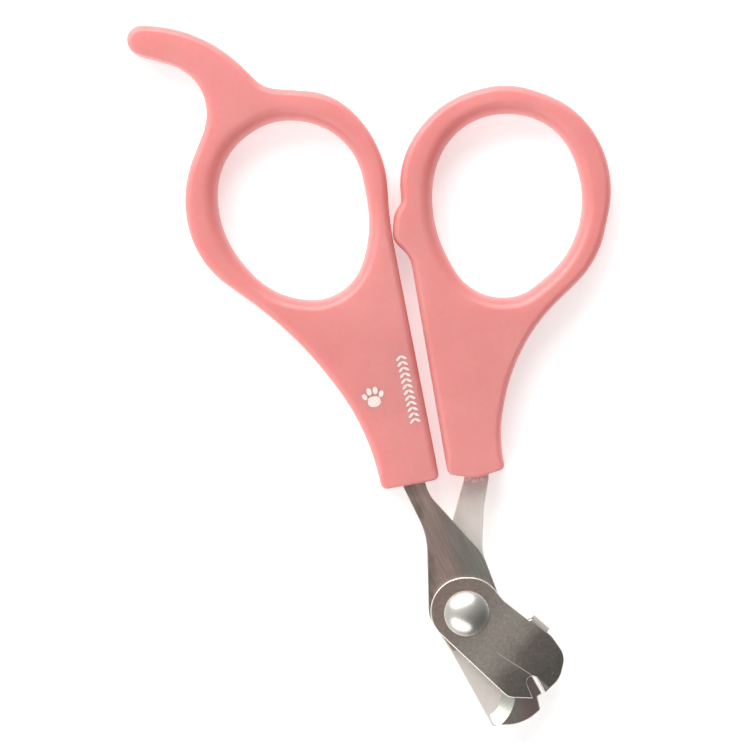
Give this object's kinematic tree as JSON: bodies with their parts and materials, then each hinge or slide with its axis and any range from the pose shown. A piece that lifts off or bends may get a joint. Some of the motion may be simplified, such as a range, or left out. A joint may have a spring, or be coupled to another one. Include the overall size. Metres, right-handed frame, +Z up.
{
  "type": "scissor nail clipper",
  "caption": "Claw scissors for small pets: ring handles over-moulded on steel levers, and a hooked blade that swings across a claw notch between two plates.",
  "frame": {"origin": "middle of the underside of the closed scissors' bounding box, on the surface they lie on", "axes": "+Z up through the front of the scissors, where the rivet's domed head is; +Y from the jaws to the finger rings; +X to the right"},
  "size_m": [0.0774, 0.1122, 0.008],
  "materials": {
    "handle_plastic": "moulded, satin",
    "blade_steel": "ground and darkened",
    "lever_steel": "satin",
    "plate_steel": "tumbled and darkened",
    "rivet_steel": "polished",
    "washer_bronze": "rolled",
    "spring_steel": "rolled"
  },
  "bodies": {
    "right_half": {"right_handle": "handle_plastic", "back_plate": "lever_steel", "front_catch_plate": "plate_steel", "pivot_rivet": "rivet_steel", "front_slip_washer": "washer_bronze", "rear_slip_washer": "washer_bronze", "spring_washer": "spring_steel", "burr_washer": "rivet_steel"},
    "left_half": {"left_handle": "handle_plastic", "hooked_blade": "blade_steel"}
  },
  "joints": [
    {"name": "scissor_pivot", "type": "hinge", "parent": "right_half", "child": "left_half", "pos_m": [0.01565, -0.03788, 0.0035], "axis": [0, 0, 1], "range_deg": [0, 32]}
  ]
}
